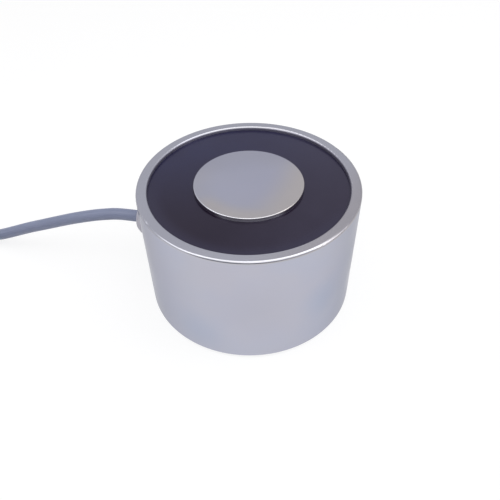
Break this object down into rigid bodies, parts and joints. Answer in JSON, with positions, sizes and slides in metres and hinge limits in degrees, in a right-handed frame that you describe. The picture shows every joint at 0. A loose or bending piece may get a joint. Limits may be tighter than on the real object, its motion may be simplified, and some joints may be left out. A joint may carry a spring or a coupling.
{
  "type": "holding electromagnet",
  "caption": "Round pot-shaped holding electromagnet with a centre pole, black cast resin in its groove, a tapped hole in the back and a grey cable out of the side.",
  "frame": {"origin": "centre of the back face, which the part stands on", "axes": "+Z along the pole's axis, out of the holding face; the cable leaves along -X"},
  "size_m": [0.2137, 0.1003, 0.05],
  "materials": {
    "plated_steel": "satin",
    "black_resin": "satin",
    "bush_grey": "satin",
    "cable_grey": "satin",
    "spool_plastic": "matte",
    "copper_wire": "gloss",
    "tape": "gloss",
    "lead_sleeve": "matte",
    "core_brown": "satin",
    "core_blue": "satin",
    "splice_black": "satin",
    "strap_white": "satin",
    "tinned_copper": "satin"
  },
  "bodies": {
    "root": {"pot_body": "plated_steel", "coil_bobbin": "spool_plastic", "coil_winding": "copper_wire", "winding_tape": "tape", "start_lead": "lead_sleeve", "finish_lead": "lead_sleeve", "brown_core": "core_brown", "blue_core": "core_blue", "brown_splice": "splice_black", "blue_splice": "splice_black", "potting_resin": "black_resin", "cable_bush": "bush_grey", "lead_cable": "cable_grey", "cable_coil": "cable_grey", "coil_tie": "strap_white", "brown_tail": "core_brown", "blue_tail": "core_blue", "wire_ferrules": "tinned_copper"}
  },
  "joints": []
}
